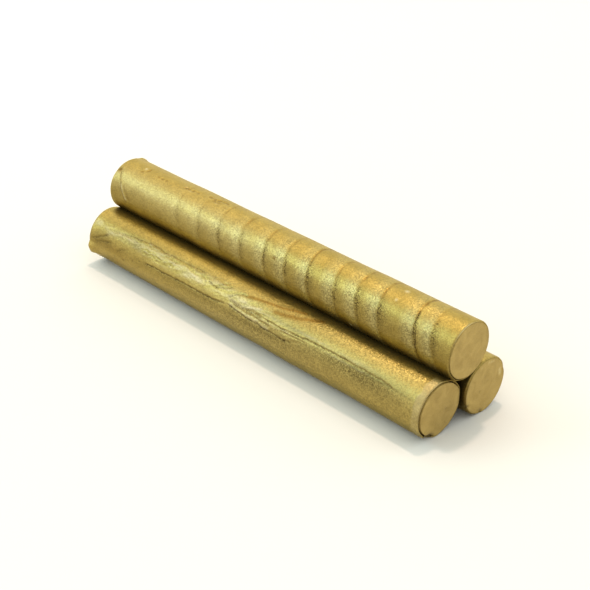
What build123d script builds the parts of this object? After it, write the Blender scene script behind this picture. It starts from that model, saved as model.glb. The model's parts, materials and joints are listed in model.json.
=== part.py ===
"""Sealing wax sticks, stacked: two lie side by side and the third rests in the valley between them.

Each stick is one casting of pigmented wax, for a glue gun or for melting over a flame, with no wick. One end
is flat. The other was the mould's mouth, where the wax was poured: it stands proud on one side where the wax
ran over, and its middle is dished where the wax shrank.

X runs along the sticks with the flat ends at +X, -Y is the front, Z is up, and the origin is on the table
under the middle of the stack. Sizes are in millimetres. Angles round a stick are in degrees from +Y towards
the top.
"""

import os
from math import sqrt

from build123d import *

# Driving dimensions of every stick
stick_diameter = 11.0
stick_length = 90.0
rim_round = 0.35
pour_round = 0.4
dish_diameter = 7.0
dish_depth = 0.5

# The front stick's flat end was trimmed back, so it is a little shorter than the others
front_trim = 0.7

# How the sticks lie: the gap between the lower two, and the clearance under the top one
lower_gap = 0.6
seat_clearance = 0.12

# Overflow lips at the pour ends, each a small round pad that stands proud of the stick's side
lip_diameter = 7.0
lip_length = 2.2
lip_rise = 0.4
top_lip_angle = 56.0
front_lip_angle = 195.0
rear_lip_angle = 40.0

# Rings on the top stick, one at each pause in the pour, level with the wax in a mould that leaned
ring_pitch = 6.15
ring_inset = 7.3
ring_clear = 20.0
ring_width = 0.35
ring_depth = 0.12
ring_lean = 17.6

# Cold laps on the front stick, long creases where the wax folded over itself
upper_lap_inset = 5.8
upper_lap_clear = 58.0
upper_lap_angle = 142.0
lower_lap_inset = 32.3
lower_lap_clear = 18.0
lower_lap_angle = 162.0
lap_width = 0.6
lap_depth = 0.2

# Crescent gaps in the flat ends of the front and top sticks, where the skin of the casting has come away
skin_wall = 0.3
gap_depth = 0.6
gap_closing = 0.4
gap_angle = 160.0
front_gap_width = 0.4
top_gap_width = 0.2

# Chips out of the rims of the flat ends
chip_diameter = 1.6
front_chip_angle = 243.0
rear_chip_angle = 20.0

# Places that follow from the sizes
stick_radius = stick_diameter / 2
flat_end = stick_length / 2
pour_end = -stick_length / 2
front_flat_end = flat_end - front_trim
front_length = stick_length - front_trim
half_pitch = stick_radius + lower_gap / 2
seat_distance = stick_diameter + seat_clearance
front_axis = (-half_pitch, stick_radius)
rear_axis = (half_pitch, stick_radius)
top_axis = (0, stick_radius + sqrt(seat_distance**2 - half_pitch**2))
ring_count = 1 + int((stick_length - ring_inset - ring_clear) / ring_pitch)


def casting(centre, end, lip_angle):
    """The casting that every stick starts as: a round bar with soft edges, an overflow lip and a dish."""
    with BuildPart() as bar:
        with BuildSketch(Plane.YZ.offset(pour_end)):
            with Locations(centre):
                Circle(stick_radius)
        extrude(amount=end - pour_end)
        end_rims = bar.edges().filter_by(GeomType.CIRCLE).sort_by(Axis.X)
        fillet(end_rims[-1], rim_round)
        fillet(end_rims[0], pour_round)

        lip_offset = stick_radius + lip_rise - lip_diameter / 2
        with BuildSketch(Plane.YZ.offset(pour_end + pour_round)):
            with Locations(centre):
                with PolarLocations(lip_offset, 1, start_angle=lip_angle):
                    Circle(lip_diameter / 2)
        extrude(amount=lip_length)

        with BuildSketch(Plane((pour_end, *centre), x_dir=(1, 0, 0), z_dir=(0, -1, 0))):
            Ellipse(dish_depth, dish_diameter / 2)
            Rectangle(stick_length, stick_radius, align=Align.MIN, mode=Mode.INTERSECT)
        revolve(axis=Axis((pour_end, *centre), (1, 0, 0)), mode=Mode.SUBTRACT)
    return bar.part


def crescent(centre, end, width):
    """The outline of the gap in a flat end: the skin's inner circle less the core, which sits off centre."""
    skin_radius = stick_radius - skin_wall
    core_radius = skin_radius - gap_closing * width
    core_offset = width - gap_closing * width
    with BuildSketch(Plane.YZ.offset(end)) as gap:
        with Locations(centre):
            Circle(skin_radius)
            with PolarLocations(core_offset, 1, start_angle=gap_angle + 180):
                Circle(core_radius, mode=Mode.SUBTRACT)
    return gap.sketch


def lap_crease(angle, inset):
    """The section of a lap's crease, on the front stick's side, at a distance from its flat end."""
    with BuildSketch(Plane.YZ.offset(front_flat_end - inset)) as section:
        with Locations(front_axis):
            with PolarLocations(stick_radius, 1, start_angle=angle):
                Ellipse(lap_depth, lap_width / 2)
    return section.sketch


def rim_point(centre, end, angle):
    """The point on the rim of a stick's flat end at an angle round it."""
    return Vector(end, *centre) + Vector(0, stick_radius, 0).rotate(Axis.X, angle)


# Front stick, with its loose skin, its cold laps and a chip
front_casting = casting(front_axis, front_flat_end, front_lip_angle)
front_gap = crescent(front_axis, front_flat_end, front_gap_width)
upper_lap = lap_crease(upper_lap_angle, upper_lap_inset)
lower_lap = lap_crease(lower_lap_angle, lower_lap_inset)
with BuildPart() as front_stick:
    add(front_casting)
    extrude(front_gap, amount=-gap_depth, mode=Mode.SUBTRACT)
    extrude(upper_lap, amount=upper_lap_inset + upper_lap_clear - front_length, mode=Mode.SUBTRACT)
    extrude(lower_lap, amount=lower_lap_inset + lower_lap_clear - front_length, mode=Mode.SUBTRACT)
    with Locations(rim_point(front_axis, front_flat_end, front_chip_angle)):
        Sphere(chip_diameter / 2, mode=Mode.SUBTRACT)

# Rear stick, plain but for its chipped rim
rear_casting = casting(rear_axis, flat_end, rear_lip_angle)
with BuildPart() as rear_stick:
    add(rear_casting)
    with Locations(rim_point(rear_axis, flat_end, rear_chip_angle)):
        Sphere(chip_diameter / 2, mode=Mode.SUBTRACT)

# Pour rings of the top stick: leaning discs, kept only where they bite into the stick's skin
ring_places = [flat_end - ring_inset - ring * ring_pitch for ring in range(ring_count)]
square_planes = [Plane((place, *top_axis), x_dir=(0, 1, 0), z_dir=(1, 0, 0)) for place in ring_places]
leaning_planes = [plane.rotated((0, -ring_lean, 0)) for plane in square_planes]
with BuildPart() as pour_rings:
    with BuildSketch(*leaning_planes):
        Circle(stick_diameter)
    extrude(amount=ring_width / 2, both=True)
    with BuildSketch(Plane.YZ.offset(pour_end)):
        with Locations(top_axis):
            Circle(stick_diameter)
            Circle(stick_radius - ring_depth, mode=Mode.SUBTRACT)
    extrude(amount=stick_length, mode=Mode.INTERSECT)

# Top stick, with its loose skin and its pour rings
top_casting = casting(top_axis, flat_end, top_lip_angle)
top_gap = crescent(top_axis, flat_end, top_gap_width)
with BuildPart() as top_stick:
    add(top_casting)
    extrude(top_gap, amount=-gap_depth, mode=Mode.SUBTRACT)
    add(pour_rings.part, mode=Mode.SUBTRACT)

# One file for each stick
os.makedirs("parts", exist_ok=True)
front_stick.part.label = "front_stick"
export_step(front_stick.part, "parts/front_stick.step")
rear_stick.part.label = "rear_stick"
export_step(rear_stick.part, "parts/rear_stick.step")
top_stick.part.label = "top_stick"
export_step(top_stick.part, "parts/top_stick.step")
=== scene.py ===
"""Three loose sticks of pearl gold sealing wax, two side by side and one in the valley between them.

Places on a stick are given in millimetres along it, with the flat ends at +X, and in degrees round it from
its top, negative towards the front. Meshes are worked out in millimetres and stored in metres.
"""

import json

import bpy
import numpy as np
from mathutils import Matrix, Vector


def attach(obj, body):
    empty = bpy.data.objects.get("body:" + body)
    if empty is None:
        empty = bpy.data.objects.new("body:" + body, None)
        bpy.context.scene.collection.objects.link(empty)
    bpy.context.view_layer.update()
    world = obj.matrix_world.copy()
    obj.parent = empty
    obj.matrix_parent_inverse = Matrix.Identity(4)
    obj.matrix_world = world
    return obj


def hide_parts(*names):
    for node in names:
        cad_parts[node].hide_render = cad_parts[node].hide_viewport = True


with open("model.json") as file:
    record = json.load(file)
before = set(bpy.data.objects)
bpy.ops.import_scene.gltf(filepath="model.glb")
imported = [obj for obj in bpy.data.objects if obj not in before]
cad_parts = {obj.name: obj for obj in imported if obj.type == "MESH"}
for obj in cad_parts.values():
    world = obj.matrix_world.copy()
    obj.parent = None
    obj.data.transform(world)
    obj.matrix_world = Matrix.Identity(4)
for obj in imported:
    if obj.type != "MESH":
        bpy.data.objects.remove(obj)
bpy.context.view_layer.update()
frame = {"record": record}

# Front stick
# A round bar of gold wax, poured into a tube mould and drawn out when set. The wax ran in cool folds, so
# its side has creases, a pale swirl and brown streaks, and at the trimmed end its skin has come away.
mounts = {mount["name"]: mount for mount in frame["record"]["mounts"]}
stick_radius = mounts["top_stick_feed"]["dims"]["r_mm"]
pour_end = -mounts["top_stick_feed"]["dims"]["length_mm"] / 2
rim_round = 0.35
pour_round = 0.4
dish_radius = 3.5
dish_depth = 0.5
millimetre = 0.001
arc_per_degree = np.radians(1.0) * stick_radius


def soft_step(low, high, value):
    """Zero below low and one above high, with an S-shaped rise between them, which is three times the
    square of the share passed less twice its cube. It falls where low is the larger."""
    share = np.clip((value - low) / (high - low), 0.0, 1.0)
    return share * share * (3.0 - 2.0 * share)


def bell(value, middle, reach):
    """One at the middle, falling off on both sides as the exponential of minus the squared distance."""
    return np.exp(-(((value - middle) / reach) ** 2))


def flat_bell(value, middle, reach):
    """A bell with a flatter top and steeper sides, from the fourth power of the distance."""
    return np.exp(-(((value - middle) / reach) ** 4))


def casting_grid(flat_end, side_rows, turns):
    """The surface of a casting, as the distance along it, the angle and the radius at each row and column.
    The rows follow its half outline: out over the flat face, in finer steps near its edge, round the rim on
    a quarter circle, along the side, round the pour edge on a larger one, and down a dish whose depth falls
    off as a half cosine."""
    face_middle = np.linspace(0.3, 4.3, 18)
    face_edge = np.linspace(4.4, stick_radius - rim_round, 20)
    face_radius = np.concatenate([face_middle, face_edge])
    face_along = np.full(face_radius.shape, flat_end)
    quarter_turn = np.radians(np.linspace(0.0, 90.0, 10))
    rim_along = flat_end - rim_round + rim_round * np.cos(quarter_turn[1:])
    rim_radius = stick_radius - rim_round + rim_round * np.sin(quarter_turn[1:])
    side_along = np.linspace(flat_end - rim_round, pour_end + pour_round, side_rows)[1:-1]
    side_radius = np.full(side_along.shape, stick_radius)
    edge_along = pour_end + pour_round - pour_round * np.sin(quarter_turn)
    edge_radius = stick_radius - pour_round + pour_round * np.cos(quarter_turn)
    dish_rows = np.linspace(stick_radius - pour_round - 0.3, 0.4, 14)
    dip = 0.5 + 0.5 * np.cos(np.pi * np.clip(dish_rows / dish_radius, 0.0, 1.0))
    dish_along = pour_end + dish_depth * dip
    rows = np.concatenate([face_along, rim_along, side_along, edge_along, dish_along])
    radii = np.concatenate([face_radius, rim_radius, side_radius, edge_radius, dish_rows])
    along, turn = np.meshgrid(rows, turns, indexing="ij")
    return along, turn, np.broadcast_to(radii[:, None], along.shape)


def side_part(across):
    """How far a place counts as the side: an S-shaped rise from near the rim to the full radius."""
    return soft_step(4.7, 5.45, across)


def end_part(along, flat_end):
    """How far a place counts as the flat end: an S-shaped rise that starts half a millimetre behind it."""
    return soft_step(flat_end - 0.5, flat_end - 0.3, along)


def cut_part(across):
    """How far a place counts as the cut face: an S-shaped fall where the rim's round begins."""
    return soft_step(stick_radius - 0.28, stick_radius - 0.36, across)


def mouth_part(along):
    """How far a place counts as the mould's mouth: an S-shaped fall within the last three millimetres."""
    return soft_step(pour_end + 2.5, pour_end + 0.4, along)


def slow_waves(along, turn, seed, size):
    """The unevenness of a hand-poured side: ten seeded sine waves added up, each with whole cycles round
    the stick so that it meets itself."""
    wave_count = 10
    draw = np.random.default_rng(seed)
    total = np.zeros(along.shape)
    for wave in range(wave_count):
        cycles_round = draw.integers(0, 6)
        wavelength = draw.uniform(9.0, 38.0)
        phase = draw.uniform(0.0, 2.0 * np.pi)
        total += np.sin(2.0 * np.pi * along / wavelength + cycles_round * np.radians(turn) + phase)
    return size * total / np.sqrt(wave_count)


def near_path(along, turn, path):
    """The distance in millimetres from each place of the unrolled side to the nearest straight run of a
    path, the side of the path it lies on, positive above, and the share of the path passed there."""
    points = np.array(path, float) * (1.0, arc_per_degree)
    runs = np.diff(points, axis=0)
    lengths = np.hypot(runs[:, 0], runs[:, 1])
    passed = np.concatenate([[0.0], np.cumsum(lengths)])
    nearest = np.full(along.shape, np.inf)
    side = np.zeros(along.shape)
    share = np.zeros(along.shape)
    for start, run, length, before in zip(points, runs, lengths, passed):
        ahead = along - start[0]
        up = turn * arc_per_degree - start[1]
        reach = np.clip((ahead * run[0] + up * run[1]) / length**2, 0.0, 1.0)
        distance = np.hypot(ahead - reach * run[0], up - reach * run[1])
        nearer = distance < nearest
        nearest = np.where(nearer, distance, nearest)
        side = np.where(nearer, np.sign(run[0] * up - run[1] * ahead), side)
        share = np.where(nearer, (before + reach * length) / passed[-1], share)
    return nearest, side, share


def streak(along, turn, path, reach):
    """A bell-shaped line along a path: one on the path, dying away on both sides of it."""
    distance = near_path(along, turn, path)[0]
    return bell(distance, 0.0, reach)


def fold(along, turn, path, depth, width, lip):
    """A crease where wax folded over itself: a bell-shaped groove along a path that tapers at both ends,
    with the wax above it standing proud by a lip that dies away upwards. Gives the relief, the mark of the
    groove, and the mark of a wider painted shade below it, where the lip would cast its shadow."""
    taper_share = 0.07
    lip_reach = 1.1
    shade_reach = 0.8
    distance, side, share = near_path(along, turn, path)
    taper = soft_step(0.0, taper_share, share) * soft_step(0.0, taper_share, 1.0 - share)
    groove = bell(distance, 0.0, width) * taper
    shoulder = soft_step(0.0, 2.0 * width, distance) * np.exp(-distance / lip_reach) * (side > 0.0) * taper
    below = np.exp(-distance / shade_reach) * (side <= 0.0) * taper
    return lip * shoulder - depth * groove, groove, below


def spots(along, turn, places):
    """Soft round or stretched spots added up, each a bell shape given by its place along and round the
    stick, its reach in millimetres along and in degrees round, and its strength."""
    total = np.zeros(along.shape)
    for place, angle, reach, spread, strength in places:
        total += strength * np.exp(-(((along - place) / reach) ** 2) - ((turn - angle) / spread) ** 2)
    return total


def flow_lines(along, turn, seed):
    """The streaks of a skin that wrinkled as it flowed: eight seeded sine waves added up across lines that
    run along the stick, climb past its middle and are bent by slow waves. Zero in the hollows, one on the
    crests."""
    climb = turn * arc_per_degree - 0.03 * along - 0.2 * np.clip(along + 12.0, 0.0, None)
    climb = climb + slow_waves(along * 2.0, turn, seed, size=0.35)
    climb = climb + slow_waves(along * 6.0, turn * 2.0, seed + 1, size=0.1)
    draw = np.random.default_rng(seed)
    total = np.zeros(along.shape)
    for wave in range(8):
        width = draw.uniform(0.8, 2.4)
        drift = draw.uniform(-0.3, 0.3)
        phase = draw.uniform(0.0, 2.0 * np.pi)
        total += np.sin(2.0 * np.pi * (climb + drift * along) / width + phase)
    return soft_step(-2.4, 2.4, total)


def pour_lip(along, turn, angle, spread, rise, length):
    """The wax that ran over the mould's mouth: a pad on one side of the pour end, with S-shaped sides round
    the stick, that slopes down to its skin over a length."""
    pad = 1.0 - soft_step(0.3 * spread, spread, np.abs(turn - angle))
    ragged = along + 0.2 * np.sin(np.radians(turn * 9.0))
    slope = 1.0 - soft_step(pour_end + 0.3, pour_end + length, ragged)
    return rise * pad * slope


def face_spots(across, turn, places):
    """Soft round spots on a flat end added up, each a bell shape given by its sideways and upward offset
    from the middle, its reach in millimetres and its strength."""
    sideways = across * np.sin(np.radians(turn))
    upward = across * np.cos(np.radians(turn))
    total = np.zeros(across.shape)
    for right, up, reach, strength in places:
        total += strength * np.exp(-((sideways - right) ** 2 + (upward - up) ** 2) / reach**2)
    return total


def loose_skin(radius, turn, width, gap_turn):
    """The crescent gap in a flat end, one inside it and zero outside, with soft edges. It is the space
    between the core, a circle set off centre, and the inside of the skin."""
    skin_wall = 0.3
    gap_closing = 0.4
    softness = 0.03
    skin_inside = stick_radius - skin_wall
    core_radius = skin_inside - gap_closing * width
    core_offset = (1.0 - gap_closing) * width
    away = np.radians(turn - gap_turn)
    core_edge = np.sqrt(core_radius**2 - (core_offset * np.sin(away)) ** 2) - core_offset * np.cos(away)
    outside_core = soft_step(core_edge - softness, core_edge + softness, radius)
    inside_skin = 1.0 - soft_step(skin_inside - softness, skin_inside + softness, radius)
    return outside_core * inside_skin


def wax_piece(name, along, across, turn, centre, marks):
    """A closed mesh from a grid of distances along a stick, radii and angles, with one vertex in the middle
    of each end, and the marks stored as values of its vertices."""
    rows, columns = along.shape
    sideways = centre[1] + across * np.sin(np.radians(turn))
    upward = centre[2] + across * np.cos(np.radians(turn))
    grid = np.stack([along, sideways, upward], axis=-1)
    flat_middle = (along[0].mean(), centre[1], centre[2])
    dish_middle = (along[-1].mean(), centre[1], centre[2])
    vertices = np.concatenate([grid.reshape(-1, 3), [flat_middle, dish_middle]]) * millimetre
    here = np.arange(columns)
    following = (here + 1) % columns
    starts = np.arange(rows - 1)[:, None] * columns
    next_starts = starts + columns
    corners = [starts + here, starts + following, next_starts + following, next_starts + here]
    quads = np.stack(corners, axis=-1).reshape(-1, 4)
    flat_fan = np.stack([np.full(columns, rows * columns), following, here], axis=-1)
    last = (rows - 1) * columns
    dish_fan = np.stack([np.full(columns, rows * columns + 1), last + here, last + following], axis=-1)
    mesh = bpy.data.meshes.new(name)
    mesh.from_pydata(vertices.tolist(), [], quads.tolist() + flat_fan.tolist() + dish_fan.tolist())
    mesh.polygons.foreach_set("use_smooth", np.ones(len(mesh.polygons), bool))
    for mark, values in marks.items():
        ends = [values[0].mean(), values[-1].mean()]
        attribute = mesh.attributes.new(mark, "FLOAT", "POINT")
        attribute.data.foreach_set("value", np.concatenate([values.ravel(), ends]).astype(np.float32))
    mesh.update()
    piece = bpy.data.objects.new(name, mesh)
    bpy.context.scene.collection.objects.link(piece)
    return piece


def add_node(tree, kind, inputs, **options):
    """Adds a node with its options, and gives each input, by name or number, a value or a link from another
    socket."""
    node = tree.nodes.new(kind)
    for option, value in options.items():
        setattr(node, option, value)
    for socket, value in inputs.items():
        if isinstance(value, bpy.types.NodeSocket):
            tree.links.new(value, node.inputs[socket])
        else:
            node.inputs[socket].default_value = value
    return node


def blend_colour(tree, share, first, second):
    """The colour that goes from first to second as the share goes from zero to one. The node's sockets go
    by number, because several share a name."""
    inputs = {0: share, 6: first, 7: second}
    return add_node(tree, "ShaderNodeMix", inputs, data_type="RGBA").outputs[2]


def blend_value(tree, share, first, second):
    """The value that goes from first to second as the share goes from zero to one."""
    return add_node(tree, "ShaderNodeMix", {0: share, 2: first, 3: second}).outputs[0]


def work_out(tree, operation, first, second, **options):
    """One step of arithmetic on two values."""
    inputs = {0: first, 1: second}
    return add_node(tree, "ShaderNodeMath", inputs, operation=operation, **options).outputs[0]


def spread_noise(tree, noise):
    """A noise with the middle of its range, where most of its values lie, spread out over zero to one."""
    inputs = {"Value": noise.outputs[0], "From Min": 0.3, "From Max": 0.7}
    return add_node(tree, "ShaderNodeMapRange", inputs).outputs[0]


def new_group(name, inputs, outputs):
    """An empty node group with named vector or value sockets, and its own input and output nodes."""
    group = bpy.data.node_groups.new(name, "ShaderNodeTree")
    for socket, kind in inputs:
        group.interface.new_socket(socket, in_out="INPUT", socket_type=kind)
    for socket, kind in outputs:
        group.interface.new_socket(socket, in_out="OUTPUT", socket_type=kind)
    return group, group.nodes.new("NodeGroupInput").outputs, group.nodes.new("NodeGroupOutput").inputs


def pearl_flakes():
    """The pearl pigment: small cells of mica, each tilted its own way and brighter or darker than the
    next."""
    group, given, result = new_group(
        "pearl_flakes",
        [("Place", "NodeSocketVector"), ("Flakes", "NodeSocketFloat"), ("Tilt", "NodeSocketFloat")],
        [("Glint", "NodeSocketFloat"), ("Normal", "NodeSocketVector")],
    )
    cells = add_node(group, "ShaderNodeTexVoronoi", {"Vector": given["Place"], "Scale": given["Flakes"]})
    centred = add_node(group, "ShaderNodeVectorMath", {0: cells.outputs["Color"], 1: (0.5, 0.5, 0.5)},
                       operation="SUBTRACT")
    tilted = add_node(group, "ShaderNodeVectorMath", {0: centred.outputs[0], "Scale": given["Tilt"]},
                      operation="SCALE")
    skin = group.nodes.new("ShaderNodeNewGeometry").outputs["Normal"]
    leaning = add_node(group, "ShaderNodeVectorMath", {0: skin, 1: tilted.outputs[0]}, operation="ADD")
    normal = add_node(group, "ShaderNodeVectorMath", {0: leaning.outputs[0]}, operation="NORMALIZE")
    parts = add_node(group, "ShaderNodeSeparateXYZ", {0: cells.outputs["Color"]})
    group.links.new(parts.outputs[0], result["Glint"])
    group.links.new(normal.outputs[0], result["Normal"])
    return group


def wax_mottle():
    """The unevenness of poured wax: soft patches, streaks drawn out along the stick by the flow, and a fine
    grain."""
    group, given, result = new_group(
        "wax_mottle",
        [("Place", "NodeSocketVector"), ("Patches", "NodeSocketFloat")],
        [("Mottle", "NodeSocketFloat"), ("Streak", "NodeSocketFloat"), ("Grain", "NodeSocketFloat")],
    )
    patches = add_node(group, "ShaderNodeTexNoise", {
        "Vector": given["Place"], "Scale": given["Patches"], "Detail": 4.0, "Roughness": 0.6,
        "Distortion": 0.6})
    drawn = add_node(group, "ShaderNodeMapping", {"Vector": given["Place"], "Scale": (0.22, 1.0, 1.0)})
    streaks = add_node(group, "ShaderNodeTexNoise", {
        "Vector": drawn.outputs[0], "Scale": 900.0, "Detail": 3.0, "Roughness": 0.55, "Distortion": 1.2})
    grain = add_node(group, "ShaderNodeTexNoise", {
        "Vector": given["Place"], "Scale": 4200.0, "Detail": 1.0, "Roughness": 0.6})
    for noise, socket in ((patches, "Mottle"), (streaks, "Streak"), (grain, "Grain")):
        group.links.new(spread_noise(group, noise), result[socket])
    return group


def cut_scratches():
    """The drag marks that a blade leaves on a cut end: noise drawn out into fine lines at an angle."""
    group, given, result = new_group(
        "cut_scratches",
        [("Place", "NodeSocketVector"), ("Turn", "NodeSocketVector")],
        [("Scratch", "NodeSocketFloat")],
    )
    turned = add_node(group, "ShaderNodeMapping", {"Vector": given["Place"], "Rotation": given["Turn"]})
    drawn = add_node(group, "ShaderNodeMapping", {"Vector": turned.outputs[0], "Scale": (1.0, 0.12, 1.0)})
    lines = add_node(group, "ShaderNodeTexNoise", {
        "Vector": drawn.outputs[0], "Scale": 2600.0, "Detail": 3.0, "Roughness": 0.6, "Distortion": 0.3})
    group.links.new(spread_noise(group, lines), result["Scratch"])
    return group


flake_group = pearl_flakes()
mottle_group = wax_mottle()
scratch_group = cut_scratches()


def gold_wax(name, patches, scratch_turn):
    """Pearl gold wax: a gold that varies in patches and glints in flakes, a paler and duller cream in the
    swirls and chips and as a painted sheen and highlight, brown in the burnt streaks and as painted shade,
    dark and specked in the creases and as painted shade in gaps and notches, and a dull tan with drag
    marks on the cut end. The flakes vary more as the pearl mark grows, and the tone mark makes the wax
    lighter or darker, partly as painted light and shade."""
    flakes = 4800.0
    deep_gold = (0.229, 0.160, 0.037, 1)
    light_gold = (0.290, 0.207, 0.052, 1)
    pearl_gold = (0.304, 0.239, 0.086, 1)
    cream = (0.437, 0.372, 0.208, 1)
    brown = (0.17, 0.092, 0.016, 1)
    deep_tan = (0.296, 0.196, 0.049, 1)
    light_tan = (0.413, 0.285, 0.082, 1)
    dark_wax_and_shade = (0.054, 0.035, 0.010, 1)
    warm_shine = (1.0, 0.89, 0.64, 1.0)

    material = bpy.data.materials.new(name)
    material.use_nodes = True
    tree = material.node_tree
    shader = tree.nodes["Principled BSDF"]
    place = tree.nodes.new("ShaderNodeTexCoord").outputs["Object"]
    marks = {}
    for mark in ("crease", "pale", "burnt", "pearl", "cut", "tone"):
        marks[mark] = add_node(tree, "ShaderNodeAttribute", {}, attribute_name=mark).outputs["Fac"]
    tilt = blend_value(tree, marks["pearl"], 0.10, 0.18)
    pearl = add_node(tree, "ShaderNodeGroup", {"Place": place, "Flakes": flakes, "Tilt": tilt},
                     node_tree=flake_group)
    mottle = add_node(tree, "ShaderNodeGroup", {"Place": place, "Patches": patches}, node_tree=mottle_group)
    scratch = add_node(tree, "ShaderNodeGroup", {"Place": place, "Turn": scratch_turn},
                       node_tree=scratch_group)

    gold = blend_colour(tree, mottle.outputs["Mottle"], deep_gold, light_gold)
    gold = blend_colour(tree, marks["pearl"], gold, pearl_gold)
    streaked = blend_value(tree, mottle.outputs["Streak"], 0.55, 1.0)
    swirl = work_out(tree, "MULTIPLY", marks["pale"], streaked)
    gold = blend_colour(tree, swirl, gold, cream)
    gold = blend_colour(tree, marks["burnt"], gold, brown)
    tan = blend_colour(tree, mottle.outputs["Mottle"], deep_tan, light_tan)
    gold = blend_colour(tree, marks["cut"], gold, tan)
    specked = blend_value(tree, mottle.outputs["Grain"], 0.15, 1.4)
    # The dark colour is dark wax in creases, rings and specks. It is also painted shade in the gaps,
    # notches and chips of the flat ends and below the lips of folds.
    dark_and_shade_share = work_out(tree, "MULTIPLY", marks["crease"], specked, use_clamp=True)
    gold = blend_colour(tree, dark_and_shade_share, gold, dark_wax_and_shade)
    darkest = blend_value(tree, marks["pearl"], 0.86, 0.62)
    brightest = blend_value(tree, marks["pearl"], 1.14, 1.38)
    glint = blend_value(tree, pearl.outputs["Glint"], darkest, brightest)
    cut_glint = blend_value(tree, mottle.outputs["Grain"], 0.94, 1.06)
    glint = blend_value(tree, marks["cut"], glint, cut_glint)
    brightness = work_out(tree, "MULTIPLY", glint, work_out(tree, "ADD", marks["tone"], 1.0))
    lit = add_node(tree, "ShaderNodeHueSaturation", {"Color": gold, "Value": brightness})
    tree.links.new(lit.outputs[0], shader.inputs["Base Color"])

    sheen = blend_value(tree, swirl, 0.94, 0.25)
    tree.links.new(blend_value(tree, marks["cut"], sheen, 0.2), shader.inputs["Metallic"])
    dullness = blend_value(tree, mottle.outputs["Grain"], 0.35, 0.41)
    dullness = blend_value(tree, swirl, dullness, 0.6)
    tree.links.new(blend_value(tree, marks["cut"], dullness, 0.6), shader.inputs["Roughness"])
    shader.inputs["Specular Tint"].default_value = warm_shine
    shader.inputs["IOR"].default_value = 1.46

    side_height = blend_value(tree, 0.6, mottle.outputs["Streak"], mottle.outputs["Grain"])
    height = blend_value(tree, marks["cut"], side_height, scratch.outputs["Scratch"])
    bump = add_node(tree, "ShaderNodeBump", {"Height": height, "Normal": pearl.outputs["Normal"],
                                             "Strength": 0.35, "Distance": 0.03 * millimetre})
    tree.links.new(bump.outputs[0], shader.inputs["Normal"])
    return material


front_centre = np.array(mounts["front_stick_flat_end"]["pos_m"]) / millimetre
front_end = front_centre[0]
fine_turns = np.linspace(-125.0, 5.0, 170, endpoint=False)
plain_turns = np.linspace(5.0, 235.0, 80, endpoint=False)
front_turns = (np.concatenate([fine_turns, plain_turns]) + 180.0) % 360.0 - 180.0
front_along, front_turn, front_across = casting_grid(front_end, side_rows=316, turns=front_turns)
side_share = side_part(front_across)
flow_along = front_along + slow_waves(front_along * 2.5, front_turn, seed=3, size=0.15)
flow_turn = front_turn + slow_waves(front_along * 2.5, front_turn, seed=4, size=0.4)
flow_turn = flow_turn + slow_waves(front_along * 9.0, front_turn * 4.0, seed=5, size=0.5)

# Creases of the front stick: each has its path, depth, half width, lip, darkness and the painted shade
# below it
front_creases = [
    ([(-28, -78), (-24.8, -73.5), (-21, -74.5), (-17, -73), (-13, -73.2), (-9.3, -72), (-6.6, -71.5),
      (-4, -69), (-3.2, -65.5)], 0.07, 0.17, 0.10, 0.8, 0.5),
    ([(-3.4, -66), (-2.4, -67.4), (-0.8, -69), (1.7, -71.6), (5, -73), (8, -75), (11.5, -75.5),
      (14.5, -74.5)], 0.07, 0.17, 0.10, 0.8, 0.55),
    ([(13, -73), (14.5, -69.5), (16.5, -64)], 0.03, 0.25, 0.05, 0.25, 0.1),
    ([(6, -57.5), (10.6, -58), (13, -56), (15.3, -55.5), (17.2, -52.7), (19.9, -53), (22.5, -52),
      (25.7, -50.8), (28.2, -51.7)], 0.05, 0.15, 0.05, 0.75, 0.3),
    ([(26, -50.8), (28.2, -51.7), (31.6, -53), (35, -53.5), (37, -55.5), (38.5, -59)],
     0.04, 0.18, 0.03, 0.5, 0.25),
    ([(-3.3, -56), (-0.8, -58), (1.5, -58), (4, -57.5), (6, -59)], 0.05, 0.3, 0.09, 0.5, 0.3),
    ([(-3.4, -53), (-2.6, -45), (-1.3, -36.5), (0.7, -33.5)], 0.05, 0.18, 0.05, 0.8, 0.0),
    ([(-36, -38), (-33.9, -38), (-31.3, -36), (-28.2, -32.5), (-25.6, -32), (-23.3, -35), (-20.6, -33.2),
      (-17.7, -33.2), (-15.6, -33), (-13, -30), (-11, -35)], 0.04, 0.2, -0.03, 0.5, 0.25),
    ([(-39.5, -50), (-37.8, -46), (-35.5, -42), (-33, -43), (-31.4, -45), (-29.5, -46)],
     0.06, 0.35, 0.0, 0.4, 0.0),
    ([(-20.3, -58), (-20.3, -50), (-18.8, -40)], 0.04, 0.18, 0.04, 0.55, 0.0),
    ([(-9.8, -42.5), (-8.3, -47.5), (-6.7, -47), (-5.3, -42), (-4.4, -35.5), (-4, -30)],
     0.05, 0.18, 0.05, 0.75, 0.1),
    ([(-6.8, -45), (-5.8, -35), (-4.7, -26.5)], 0.04, 0.18, 0.03, 0.65, 0.0),
    ([(-9.4, -32.5), (-7.3, -29)], 0.02, 0.18, 0.0, 0.5, 0.0),
    ([(-12.3, -38), (-10.8, -43), (-9.8, -50)], 0.03, 0.22, 0.0, 0.5, 0.0),
    ([(-44, -83), (-41.9, -72), (-40.6, -65.5), (-39.5, -57)], 0.06, 0.22, 0.06, 0.55, 0.25),
    ([(-43, -86), (-40.2, -76.5), (-38, -71)], 0.05, 0.22, 0.05, 0.5, 0.3),
    ([(-36.3, -83.5), (-34.6, -74), (-32.5, -68)], 0.03, 0.22, 0.03, 0.4, 0.2),
    ([(-2.2, -62), (1, -63.5), (4.5, -64), (9, -66)], 0.03, 0.2, 0.06, 0.3, 0.1),
    ([(11, -62.5), (14, -61.5), (17, -59.5)], 0.03, 0.16, 0.05, 0.35, 0.1),
]
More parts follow.
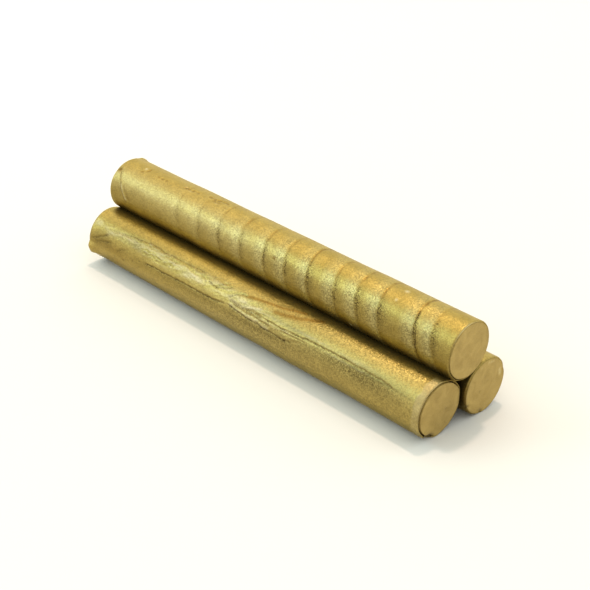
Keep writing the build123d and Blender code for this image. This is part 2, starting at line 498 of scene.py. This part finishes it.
front_skin = slow_waves(front_along, front_turn, seed=11, size=0.03)
front_crease = np.zeros(front_along.shape)
uneven = np.clip(0.85 + slow_waves(front_along * 8.0, front_turn, seed=6, size=0.25), 0.4, 1.0)
for path, depth, width, lip, dark, shade in front_creases:
    relief, groove, below = fold(flow_along, flow_turn, path, depth, width, lip)
    front_skin = front_skin + relief
    front_crease = np.maximum(front_crease, uneven * (dark * groove + shade * below))

# Pale swirl where cooler wax surfaced: spots, and thin ridges each with its path, half width and strength
front_pale = spots(flow_along, flow_turn, [
    (-43.6, -45, 1.1, 6, 0.7), (-40.8, -49, 0.8, 3, 0.6), (-38.8, -51.5, 0.7, 2.5, 0.6),
    (-36.6, -46.8, 0.9, 3, 0.7), (-33.4, -47, 1.0, 2.5, 0.7), (-29.6, -42.5, 0.9, 2, 0.7),
    (-27.5, -41, 0.8, 2, 0.7), (-27.6, -34.5, 0.6, 1.5, 0.8), (-25.8, -38.7, 0.7, 2, 0.7),
    (-24, -43.7, 1.2, 3.5, 0.9), (-22, -39, 0.9, 2, 0.5), (-19.2, -46.5, 0.9, 2.5, 0.9),
    (-17.6, -45.3, 0.8, 2.5, 0.8), (-15.2, -53, 1.6, 6, 0.9), (-13, -49.5, 1.6, 5, 0.8),
    (-11.8, -52, 1.3, 5, 0.6), (-8, -38, 1.8, 4, 0.5), (-0.5, -45, 1.8, 5, 0.6), (1.5, -48, 2.0, 3, 0.5),
    (4.6, -45, 0.6, 3, 0.6), (9, -48, 3.0, 3, 0.3), (18, -46, 4.0, 2.5, 0.5), (29, -45.5, 4.0, 3, 0.3),
    (12.6, -58.7, 1.2, 1.2, 0.7), (25, -57, 3.0, 2, 0.3), (30.5, -57, 1.8, 1.5, 0.35),
    (-30, -112, 16, 18, 0.14), (-8, -112, 12, 18, 0.1),
])
for path, reach, strength in (
    ([(-39.8, -53.5), (-37.8, -50), (-35.6, -46), (-33, -47), (-31.4, -49), (-29.9, -51)], 0.7, 0.4),
    ([(-3.2, -53.5), (-1.2, -54.6), (0.6, -54.4), (2.9, -50.7), (4.9, -44.7)], 0.35, 0.8),
    ([(-2.4, -64), (-0.5, -66.5), (2.1, -67), (4, -69), (8, -71)], 0.35, 0.6),
):
    front_pale = np.maximum(front_pale, strength * streak(flow_along, flow_turn, path, reach))
ripple = flow_lines(front_along, front_turn, seed=17)
swirl_reach = spots(front_along, front_turn, [
    (-34, -48, 8, 9, 0.8), (-20, -48, 9, 13, 0.9), (-6, -44, 6, 13, 0.7), (5, -54, 7, 12, 0.8)])
swirl_reach = np.clip(swirl_reach, 0.0, 1.0) * side_share
front_pale = np.maximum(front_pale * (0.5 + 0.5 * ripple), 0.5 * swirl_reach * ripple**2)
front_crease = np.maximum(front_crease, 0.35 * swirl_reach * (1.0 - ripple) ** 2)

# Tan collar behind the trimmed end, on the side that is in view, where the skin is rubbed
collar_start = front_end - 1.6 + slow_waves(front_along * 3.0, front_turn * 3.0, seed=14, size=0.2)
collar = soft_step(collar_start - 0.15, collar_start + 0.15, front_along)
collar = collar * soft_step(12.0, -12.0, front_turn)
collar = collar * (1.0 - 0.6 * soft_step(-60.0, -110.0, front_turn))
front_pale = np.clip(front_pale + 0.45 * collar, 0.0, 1.0)

# Brown streaks of burnt wax, dark specks, where the skin is lighter or darker, with painted shade on the
# side that faces the rear stick, and where its pearl shows
front_burnt = spots(front_along, front_turn, [
    (-38, -84, 5, 12, 0.3), (-37, -112, 3, 8, 0.35), (11, -22, 4, 8, 0.3)])
for path, reach in (
    ([(0.7, -33.4), (2.3, -31.8), (5.2, -25.8), (8.8, -20), (11.3, -13), (13.5, -7.5)], 0.35),
    ([(8, -36), (11.5, -28.6), (13, -25.5), (14.5, -18.5), (16.5, -11.4), (17.5, -5.5)], 0.5),
):
    front_burnt = np.maximum(front_burnt, 0.85 * streak(flow_along, flow_turn, path, reach))
speckle = spots(front_along, front_turn, [
    (-10, -80, 9, 6, 0.25), (6, -82, 8, 7, 0.36), (22, -62, 10, 9, 0.42), (32, -66, 8, 14, 0.55)])
lower_speckle = spots(front_along, front_turn, [(0, -98, 19, 20, 0.3)])
front_crease = np.maximum(front_crease, speckle + lower_speckle)
far_share = soft_step(10.0, -20.0, front_along)
front_tone = (0.20 + 0.12 * far_share) * bell(front_turn, -104.0, 18.0) + spots(front_along, front_turn, [
    (13, -36, 12, 20, -0.16), (13, -48, 9, 5, -0.28), (34, -50, 9, 10, -0.34), (-30, -36, 12, 12, -0.25),
    (-30, -54, 12, 7, -0.25), (-10, -34, 9, 8, -0.15), (-20, -13, 16, 8, 0.18), (13, -74, 10, 7, -0.13),
    (35, -10, 9, 8, 0.2), (-41, -72, 3.5, 20, -0.14), (34, -57, 9, 3, -0.22), (34, -88, 10, 20, 0.06),
])
rear_facing = bell(front_turn, 100.0, 50.0)
front_tone = front_tone + 0.6 * lower_speckle - 0.15 * collar
# Painted shade on the side that faces the rear stick near the flat end, where the gap between them is dark.
front_tone = front_tone - 0.3 * rear_facing * soft_step(36.0, 42.0, front_along)
front_pearl = 0.12 + 0.28 * (1.0 - far_share) + 1.4 * lower_speckle

# Relief of the swirl, the lip, flare and overrun of the mouth, nicks, and the burr of the trimmed rim
swirl_height = 0.05
ripple_height = 0.03
front_flare = 0.12
front_overrun = 0.25
nick_depth = 0.12
front_burr_height = 0.28
front_skin = front_skin + swirl_height * front_pale * side_share
front_skin = front_skin + ripple_height * swirl_reach * (ripple - 0.5)
front_skin = front_skin + pour_lip(front_along, front_turn, angle=-109.0, spread=20.0, rise=0.6, length=3.0)
front_mouth = mouth_part(front_along)
front_skin = front_skin + front_flare * front_mouth * soft_step(170.0, 130.0, np.abs(front_turn))
front_nicks = spots(front_along, front_turn, [
    (-31, -86, 0.3, 3, 1.0), (-34.1, -96, 0.3, 3, 1.0), (-28.9, -78, 0.3, 2, 0.7),
    (-27.5, -38.8, 0.25, 1.5, 1.0)])
front_skin = front_skin - nick_depth * front_nicks
front_crease = np.maximum(front_crease, 0.8 * front_nicks)
near_rim = soft_step(front_end - 1.5, front_end - 0.4, front_along)
rim_waves = slow_waves(np.zeros(front_along.shape), front_turn * 2.0, seed=15, size=0.05)
front_skin = front_skin + near_rim * rim_waves
front_skin = front_skin + front_burr_height * near_rim * flat_bell(front_turn, 85.0, 45.0)

# Trimmed end, with the gap behind the skin, pits, and a notched and chipped rim. The gap, the notch and
# the chip are painted dark as shade.
front_gap_depth = 0.8
front_pit_depth = 0.12
front_notch_depth = 0.4
front_end_share = end_part(front_along, front_end)
front_gap = loose_skin(front_across, front_turn, width=0.55, gap_turn=-60.0) * front_end_share
chip = spots(front_along, front_turn, [(front_end, -153, 0.6, 7, 0.5), (front_end, -164, 0.4, 4, 0.3)])
# Painted shade in the chip of the rim.
front_crease = np.maximum(front_crease, np.clip(2.5 * chip, 0.0, 1.0))
front_pits = face_spots(front_across, front_turn, [
    (2.0, -0.6, 0.25, 0.7), (2.9, 0.4, 0.2, 0.5), (-1.0, 2.2, 0.2, 0.3)])
front_notch = face_spots(front_across, front_turn, [
    (-2.1, -4.7, 0.6, 1.2), (-1.3, -4.9, 0.5, 1.2), (-2.9, -4.4, 0.35, 1.0)])
front_pits = front_pits * front_end_share
front_notch = np.clip(front_notch, 0.0, 1.0) * front_end_share
front_depth = front_gap_depth * front_gap + front_pit_depth * front_pits + front_notch_depth * front_notch
front_cut = cut_part(front_across) * front_end_share
front_cut = np.maximum(front_cut, 0.4 * collar)
front_shade = face_spots(front_across, front_turn, [(2.5, -2.5, 3.5, -0.18)]) * front_end_share
# The crease mark carries painted shade into the gap behind the skin and into the notch.
front_stick = wax_piece(
    "front_wax_stick",
    front_along - front_depth - front_overrun * front_mouth,
    front_across + side_share * (front_skin - chip),
    front_turn,
    front_centre,
    {"crease": np.maximum.reduce([front_crease * side_share, front_gap, front_notch, 0.7 * front_pits]),
     "pale": front_pale * side_share,
     "burnt": np.clip(front_burnt, 0.0, 1.0) * side_share,
     "pearl": np.clip(front_pearl, 0.0, 1.0) * side_share,
     "cut": front_cut,
     "tone": front_tone * side_share + front_shade * (1.0 - side_share)},
)
front_stick.data.materials.append(gold_wax("front_gold_wax", patches=480.0, scratch_turn=(0.6, 0.0, 0.0)))
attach(front_stick, "front_stick")
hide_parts("front_stick")

# Rear stick
# The same casting as the front one. Only its end and a strip of its side are in view, so its side is plain,
# with faint pour rings and a few soft streaks, and its rim is chipped and burred.
rear_centre = np.array(mounts["rear_stick_flat_end"]["pos_m"]) / millimetre
rear_end = rear_centre[0]
rear_turns = np.linspace(-180.0, 180.0, 200, endpoint=False)
rear_along, rear_turn, rear_across = casting_grid(rear_end, side_rows=420, turns=rear_turns)
side_share = side_part(rear_across)


def pour_ring(along, turn, middle, lean, spread, seed):
    """A ring left by a pause in the pour, level in a mould that leaned. Its place along the stick follows
    the cosine of the angle, with a seeded wobble. Gives a thin bell-shaped line that comes and goes, a
    bell-shaped smudge on both flanks of the stick, with its own spread towards the flat end, and the
    distance past the line."""
    line_reach = 0.24
    pour_side_spread = 0.6
    flank_turn = 66.0
    flank_reach = 27.0
    wobble = slow_waves(np.zeros(along.shape), turn * 5.0, seed, size=0.08)
    fading = np.clip(0.7 + slow_waves(np.zeros(along.shape), turn * 3.0, seed + 1, size=0.4), 0.2, 1.0)
    offset = along - middle + lean * np.cos(np.radians(turn)) + wobble
    line = fading * bell(offset, 0.0, line_reach)
    flank = bell(np.abs(turn), flank_turn, flank_reach)
    smudge = flank * bell(offset, 0.0, np.where(offset > 0.0, spread, pour_side_spread))
    return line, smudge, offset


# Rings of the rear stick: the middle of each along the stick, and its darkness
rear_rings = [(-30, 0.2), (-21, 0.3), (-12.5, 0.35), (-4, 0.3), (5, 0.4), (14.5, 0.35), (24, 0.4)]
ring_depth = 0.05
rear_skin = slow_waves(rear_along, rear_turn, seed=21, size=0.03)
rear_crease = np.zeros(rear_along.shape)
for middle, strength in rear_rings:
    ring_seed = 100 + int(middle)
    line, smudge = pour_ring(rear_along, rear_turn, middle, lean=1.2, spread=0.8, seed=ring_seed)[:2]
    rear_skin = rear_skin - ring_depth * strength * line
    rear_crease = np.maximum(rear_crease, strength * (0.4 * line + 0.6 * smudge))
rear_pale = spots(rear_along, rear_turn, [(-20, 100, 9, 12, 0.5), (12, 75, 8, 9, 0.4)]) * side_share
rear_skin = rear_skin + pour_lip(rear_along, rear_turn, angle=50.0, spread=24.0, rise=0.4, length=2.6)

# Nothing stands proud along the line where the top stick lies, so that the rear stick slides past it. That
# line is at the seat's angle on the top stick, and half a turn from it on the rear one.
seat_turn = 148.6
clear_reach = 14.0
clear = bell(rear_turn, seat_turn - 180.0, clear_reach)
rear_skin = rear_skin - clear * np.clip(rear_skin, 0.0, None)

# Flat end, with chips, burrs, notches and pits, the notches painted dark as shade, and painted shade on
# the flank that faces the front stick
rear_chip_depth = 0.15
rear_notch_depth = 0.3
rear_pit_depth = 0.1
rear_burr_height = 0.06
rear_end_share = end_part(rear_along, rear_end)
rear_chips = spots(rear_along, rear_turn, [(rear_end, 70, 0.5, 7, 0.16), (rear_end, -118, 0.5, 7, 0.25)])
rear_chip = face_spots(rear_across, rear_turn, [(4.0, 1.7, 0.5, 0.8), (4.2, 0.9, 0.5, 0.8)])
rear_burr = face_spots(rear_across, rear_turn, [
    (0.3, 4.6, 0.35, 0.9), (1.0, 4.5, 0.35, 1.0), (1.6, 4.4, 0.3, 0.8), (-1.6, 4.3, 0.35, 0.7)])
rear_notch = face_spots(rear_across, rear_turn, [(-4.5, -2.5, 0.45, 0.9), (-0.6, -5.0, 0.4, 0.7)])
rear_pits = face_spots(rear_across, rear_turn, [
    (-1.4, -0.6, 0.25, 0.7), (-0.2, 1.9, 0.2, 0.5), (0.6, 0.9, 0.2, 0.4)])
rear_chip = rear_chip * rear_end_share
rear_burr = rear_burr * rear_end_share
rear_notch = rear_notch * rear_end_share
rear_pits = rear_pits * rear_end_share
rear_depth = rear_chip_depth * rear_chip + rear_notch_depth * rear_notch + rear_pit_depth * rear_pits
rear_depth = rear_depth - rear_burr_height * rear_burr
rear_cut = cut_part(rear_across) * rear_end_share
rear_light = np.clip(rear_chip + 0.8 * rear_burr, 0.0, 1.0)
# Painted shade: the flank that faces the front stick is made darker and browner towards the flat end, where
# the gap between the two is dark.
front_facing = bell(rear_turn, -100.0, 50.0)
rear_gap_shade = front_facing * soft_step(5.0, 44.0, rear_along)
rear_stick = wax_piece(
    "rear_wax_stick",
    rear_along - rear_depth,
    rear_across + side_share * (rear_skin - rear_chips),
    rear_turn,
    rear_centre,
    {"crease": np.maximum.reduce([rear_crease * side_share, 0.9 * rear_notch, 0.7 * rear_pits]),
     "pale": np.clip(rear_pale + rear_light, 0.0, 1.0),
     "burnt": 0.6 * rear_gap_shade * side_share,
     "pearl": 0.2 * side_share,
     "cut": rear_cut * (1.0 - 0.9 * rear_light),
     "tone": (-0.2 * front_facing - 0.3 * rear_gap_shade) * side_share + 0.5 * rear_light},
)
rear_stick.data.materials.append(gold_wax("rear_gold_wax", patches=420.0, scratch_turn=(1.2, 0.0, 0.0)))
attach(rear_stick, "rear_stick")
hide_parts("rear_stick")

# Top stick
# The same casting again, poured in short pulses that left a row of leaning rings, with brighter pigment on
# the pour-end side of each one. It lies loose in the valley of the other two.
top_centre = np.array(mounts["top_stick_flat_end"]["pos_m"]) / millimetre
top_end = top_centre[0]
top_turns = np.linspace(-180.0, 180.0, 156, endpoint=False)
top_along, top_turn, top_across = casting_grid(top_end, side_rows=556, turns=top_turns)
side_share = side_part(top_across)
flow_along = top_along + slow_waves(top_along * 4.0, top_turn, seed=33, size=0.12)

# Rings of the top stick: the middle of each along it, its darkness, and how far its smudge spreads
top_rings = [
    (-23.4, 0.35, 0.9), (-17.3, 0.45, 0.9), (-11.3, 0.65, 1.0), (-5.2, 0.55, 1.1), (1.3, 0.65, 0.8),
    (6.7, 0.7, 0.9), (12.6, 0.75, 1.1), (19.1, 0.65, 1.0), (24.5, 0.75, 1.1), (29.8, 0.75, 1.6),
    (37.9, 1.6, 0.35), (41.8, 0.75, 1.0),
]
top_skin = slow_waves(top_along, top_turn, seed=31, size=0.025)
top_crease = np.zeros(top_along.shape)
top_burnt = np.zeros(top_along.shape)
top_pearl = np.zeros(top_along.shape)
upper_side = 1.0 - soft_step(20.0, 50.0, np.abs(top_turn))
near_half = 0.15 + 0.85 * soft_step(-30.0, 12.0, top_along)
for middle, strength, spread in top_rings:
    ring_seed = 200 + int(middle)
    line, smudge, offset = pour_ring(flow_along, top_turn, middle, lean=1.9, spread=spread, seed=ring_seed)
    top_skin = top_skin - ring_depth * strength * line
    darkness = 0.5 * line * (1.0 - 0.4 * upper_side) + 0.65 * smudge
    top_crease = np.maximum(top_crease, strength * darkness)
    top_burnt = np.maximum(top_burnt, np.clip(strength * line * upper_side, 0.0, 1.0))
    bright = soft_step(-4.2, -1.2, offset) * soft_step(-0.1, -0.9, offset) * (1.0 - 0.55 * upper_side)
    top_pearl = np.maximum(top_pearl, near_half * bright)
grime = bell(top_turn, -60.0, 40.0)
top_crease = top_crease + 0.24 * near_half * grime

# Folds of the pour end, where the wax ran over the mould's mouth, and smears in the far half of the skin,
# each with its path, depth, half width, lip, darkness and brownness
top_folds = [
    ([(-43.8, -36), (-42.9, -55), (-42, -72), (-40.8, -87), (-40, -107)], 0.08, 0.15, 0.0, 0.55, 0.4),
    ([(-42.1, -66), (-41, -80), (-39.6, -96)], -0.07, 0.25, 0.0, 0.0, 0.0),
    ([(-41.2, -68), (-40, -80), (-38.8, -96)], 0.05, 0.3, 0.0, 0.4, 0.3),
    ([(-40, -22), (-38.9, -20), (-37.9, -15.7), (-37.4, -9), (-37.5, -2)], 0.04, 0.2, 0.05, 0.25, 0.8),
    ([(-34.8, -15), (-33.8, -14.6), (-32.5, -15.5), (-31.4, -13.7)], 0.04, 0.2, 0.06, 0.2, 0.7),
    ([(-27, -10), (-26.2, -6), (-25, -9.5), (-23.7, -4), (-22.4, -7)], 0.05, 0.24, 0.06, 0.35, 0.7),
    ([(-20.4, -3), (-19.6, 1.4), (-18, -2), (-16.3, 4.5), (-14.5, 2)], 0.05, 0.24, 0.06, 0.35, 0.7),
    ([(-19, -8.5), (-17.8, -7.5), (-16.4, -9.5)], 0.04, 0.2, 0.03, 0.3, 0.5),
]
broken = np.clip(0.6 + slow_waves(top_along * 14.0, top_turn * 3.0, seed=36, size=0.6), 0.0, 1.0)
for path, depth, width, lip, dark, brown in top_folds:
    relief, groove = fold(flow_along, top_turn, path, depth, width, lip)[:2]
    top_skin = top_skin + relief
    top_crease = np.maximum(top_crease, dark * broken * groove)
    top_burnt = np.maximum(top_burnt, brown * broken * groove)

# Pits, chips and a bright ridge, a painted pale sheen on the far half, and where the skin is lighter or
# darker, with painted shade in the valley underneath and a painted highlight high on the near half, and the
# mouth's lip and flare
top_pit_depth = 0.1
chip_height = 0.06
top_flare = 0.25
pits = spots(top_along, top_turn, [
    (3, -62, 0.3, 2.5, 1.0), (-44.2, -37, 0.5, 5, 1.2), (-26.3, -8.5, 0.35, 2, 0.9),
    (-25.3, -6.5, 0.25, 1.5, 0.7), (-24.3, -8, 0.4, 1.5, 0.9), (-23.1, -5, 0.3, 1.5, 0.6),
    (-25.8, -11, 0.3, 1.5, 0.5), (-19.6, 0, 0.35, 2, 0.8), (-18.4, -3.5, 0.3, 2, 0.9),
    (-17.4, -1, 0.45, 1.5, 0.9), (-16.1, 2.5, 0.3, 2, 0.7), (-17.8, -8, 0.3, 2, 0.7),
    (-16.6, -6, 0.25, 1.5, 0.6), (-33, -14.5, 0.5, 2, 0.6), (-13, 3, 0.4, 2, 0.5),
    (-14.6, -12, 0.3, 2, 0.4),
])
chips = spots(top_along, top_turn, [
    (-38.7, -9, 0.3, 3, 1.0), (31, -1, 0.4, 3.5, 1.0), (30.8, -29, 0.25, 2.5, 0.8),
    (22.6, -122, 0.35, 3, 1.0), (-26.6, -5, 0.5, 2, 0.3), (-24.8, -11, 0.5, 2, 0.3),
    (-18.8, 3, 0.5, 2, 0.3), (-17, -10.5, 0.5, 2, 0.3),
])
ridge = 0.5 * streak(flow_along, top_turn, [(-42.3, -64), (-41.1, -80), (-39.8, -94)], 0.2)
# Painted sheen: a pale band along the far half, where the highlight of the sheen lies.
painted_sheen_share = soft_step(12.0, -15.0, top_along) * bell(top_turn, -52.0, 28.0)
top_pale = chips + ridge + 0.24 * painted_sheen_share
top_burnt = np.maximum(top_burnt, np.clip(pits, 0.0, 1.0))
top_crease = np.maximum(top_crease, 0.5 * pits)
# Lighter and darker patches. The one low on the near half is painted shade in the valley against the front
# stick, and the lift high on the near half is a painted highlight.
top_tone = spots(top_along, top_turn, [
    (34, -58, 14, 20, -0.06), (13, -52, 11, 16, -0.04), (22, -115, 20, 12, -0.15), (0, -88, 60, 14, 0.08),
    (24, -29, 22, 9, 0.1),
])
# Painted shade on the underside, in the valley where the top stick lies against the front one.
top_tone = top_tone - 0.3 * soft_step(-105.0, -130.0, top_turn)
top_skin = top_skin - top_pit_depth * pits + chip_height * chips
top_skin = top_skin + pour_lip(top_along, top_turn, angle=36.0, spread=17.0, rise=0.25, length=1.6)
top_skin = top_skin + top_flare * mouth_part(top_along) * flat_bell(top_turn, -95.0, 40.0)

# Underneath, the top stick lies snug along the front one, and stands clear of the rear one that slides past
snug_height = 0.13
snug = bell(top_turn, -seat_turn, 6.0)
clear = bell(top_turn, seat_turn, clear_reach)
top_skin = top_skin * (1.0 - snug) + snug_height * snug
top_skin = top_skin - clear * np.clip(top_skin, 0.0, None)

# Flat end, with the gap behind the skin, which closes towards the top and is painted dark as shade, and a
# painted highlight along the upper rim
top_gap_depth = 0.6
top_end_share = end_part(top_along, top_end)
top_gap = loose_skin(top_across, top_turn, width=0.22, gap_turn=-70.0) * top_end_share
top_gap = top_gap * (0.2 + 0.8 * soft_step(-25.0, -65.0, top_turn))
# Painted highlight: a pale and lighter line along the upper front rim, where the rim catches the light.
top_rim_highlight = bell(top_across, 5.3, 0.12) * bell(top_turn, -22.0, 35.0) * top_end_share
top_pale = top_pale * side_share + 0.7 * top_rim_highlight
top_cut = cut_part(top_across) * top_end_share * (1.0 - 0.8 * top_rim_highlight)
top_stick = wax_piece(
    "top_wax_stick",
    top_along - top_gap_depth * top_gap,
    top_across + side_share * top_skin,
    top_turn,
    top_centre,
    {"crease": np.maximum(np.clip(top_crease, 0.0, 1.0) * side_share, top_gap),
     "pale": np.clip(top_pale, 0.0, 1.0),
     "burnt": top_burnt * side_share,
     "pearl": top_pearl * side_share,
     "cut": top_cut,
     "tone": top_tone * side_share + 0.4 * top_rim_highlight},
)
top_stick.data.materials.append(gold_wax("top_gold_wax", patches=450.0, scratch_turn=(0.3, 0.0, 0.0)))
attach(top_stick, "top_stick")
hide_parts("top_stick")

# Floor
# A plain studio table in a pale warm grey that the light turns white, with the faintest unevenness. It is
# large enough to fill the view.
floor_half = 4.0
floor_corners = [(-floor_half, -floor_half, 0), (floor_half, -floor_half, 0), (floor_half, floor_half, 0),
                 (-floor_half, floor_half, 0)]
floor_mesh = bpy.data.meshes.new("floor")
floor_mesh.from_pydata(floor_corners, [], [(0, 1, 2, 3)])
floor = bpy.data.objects.new("floor", floor_mesh)
bpy.context.scene.collection.objects.link(floor)
floor_material = bpy.data.materials.new("pale_table")
floor_material.use_nodes = True
table_tree = floor_material.node_tree
table_place = table_tree.nodes.new("ShaderNodeTexCoord").outputs["Object"]
table_noise = {"Vector": table_place, "Scale": 6.0, "Detail": 2.0}
table_patches = add_node(table_tree, "ShaderNodeTexNoise", table_noise)
table_dark = (0.485, 0.473, 0.437, 1)
table_light = (0.505, 0.493, 0.455, 1)
table_colour = blend_colour(table_tree, table_patches.outputs[0], table_dark, table_light)
table_shader = table_tree.nodes["Principled BSDF"]
table_tree.links.new(table_colour, table_shader.inputs["Base Color"])
table_shader.inputs["Roughness"].default_value = 0.8
table_shader.inputs["Specular IOR Level"].default_value = 0.2
floor_mesh.materials.append(floor_material)

# Light
# The sticks lie in a white light tent whose near end, which the flat ends face, is dim. A small warm light
# almost overhead throws the short shadow to the front, a large one beside it warms the upper sides, and a
# cool one from the front left makes the pale sheen.


def soft_light(name, direction, size, power, colour):
    """A square area light that looks at the foot of the stack from a direction, one metre away."""
    lamp = bpy.data.lights.new(name, "AREA")
    lamp.size = size
    lamp.energy = power
    lamp.color = colour
    light = bpy.data.objects.new(name, lamp)
    towards = Vector(direction).normalized()
    light.rotation_euler = towards.to_track_quat("Z", "Y").to_euler()
    light.location = towards
    bpy.context.scene.collection.objects.link(light)


soft_light("warm_overhead", (-0.15, 0.18, 0.97), size=0.06, power=4.2, colour=(1.0, 0.76, 0.64))
soft_light("warm_tent_top", (-0.40, 0.10, 0.90), size=0.9, power=2.1, colour=(1.0, 0.80, 0.42))
soft_light("cool_front", (-0.61, -0.55, 0.57), size=0.45, power=3.2, colour=(0.58, 0.88, 1.0))
tent = bpy.data.worlds.new("light_tent")
tent.use_nodes = True
tent_tree = tent.node_tree
tent_direction = tent_tree.nodes.new("ShaderNodeTexCoord").outputs["Generated"]
tent_parts = add_node(tent_tree, "ShaderNodeSeparateXYZ", {0: tent_direction})
tent_strength = add_node(tent_tree, "ShaderNodeMapRange", {
    "Value": tent_parts.outputs[0], "From Min": 0.5, "From Max": 0.9, "To Min": 1.75, "To Max": 1.0})
tent_light = tent_tree.nodes["Background"]
tent_light.inputs["Color"].default_value = (0.985, 1.02, 0.985, 1.0)
tent_tree.links.new(tent_strength.outputs[0], tent_light.inputs["Strength"])
bpy.context.scene.world = tent
bpy.context.scene.view_settings.view_transform = "Standard"

# Camera
# A long lens at the near right, about 12 cm above the table, which looks down on the stack and leans a
# touch to one side.
view_yaw = np.radians(44.435)
view_pitch = np.radians(29.240)
view_roll = np.radians(1.847)
camera_place = (0.149292, -0.148159, 0.124685)
level_right = np.array([np.cos(view_yaw), np.sin(view_yaw), 0.0])
level_ahead = np.array([-np.sin(view_yaw), np.cos(view_yaw), 0.0])
ahead = np.cos(view_pitch) * level_ahead - np.sin(view_pitch) * np.array([0.0, 0.0, 1.0])
level_up = np.cross(level_right, ahead)
camera_right = np.cos(view_roll) * level_right + np.sin(view_roll) * level_up
camera_up = np.cos(view_roll) * level_up - np.sin(view_roll) * level_right
turn_and_place = np.eye(4)
turn_and_place[:3, :3] = np.stack([camera_right, camera_up, -ahead], axis=1)
turn_and_place[:3, 3] = camera_place
camera = bpy.data.objects.new("camera", bpy.data.cameras.new("camera"))
camera.data.sensor_width = 36.0
camera.data.lens = 76.95
camera.data.clip_start = 0.005
camera.matrix_world = Matrix(turn_and_place.tolist())
bpy.context.scene.collection.objects.link(camera)
bpy.context.scene.camera = camera
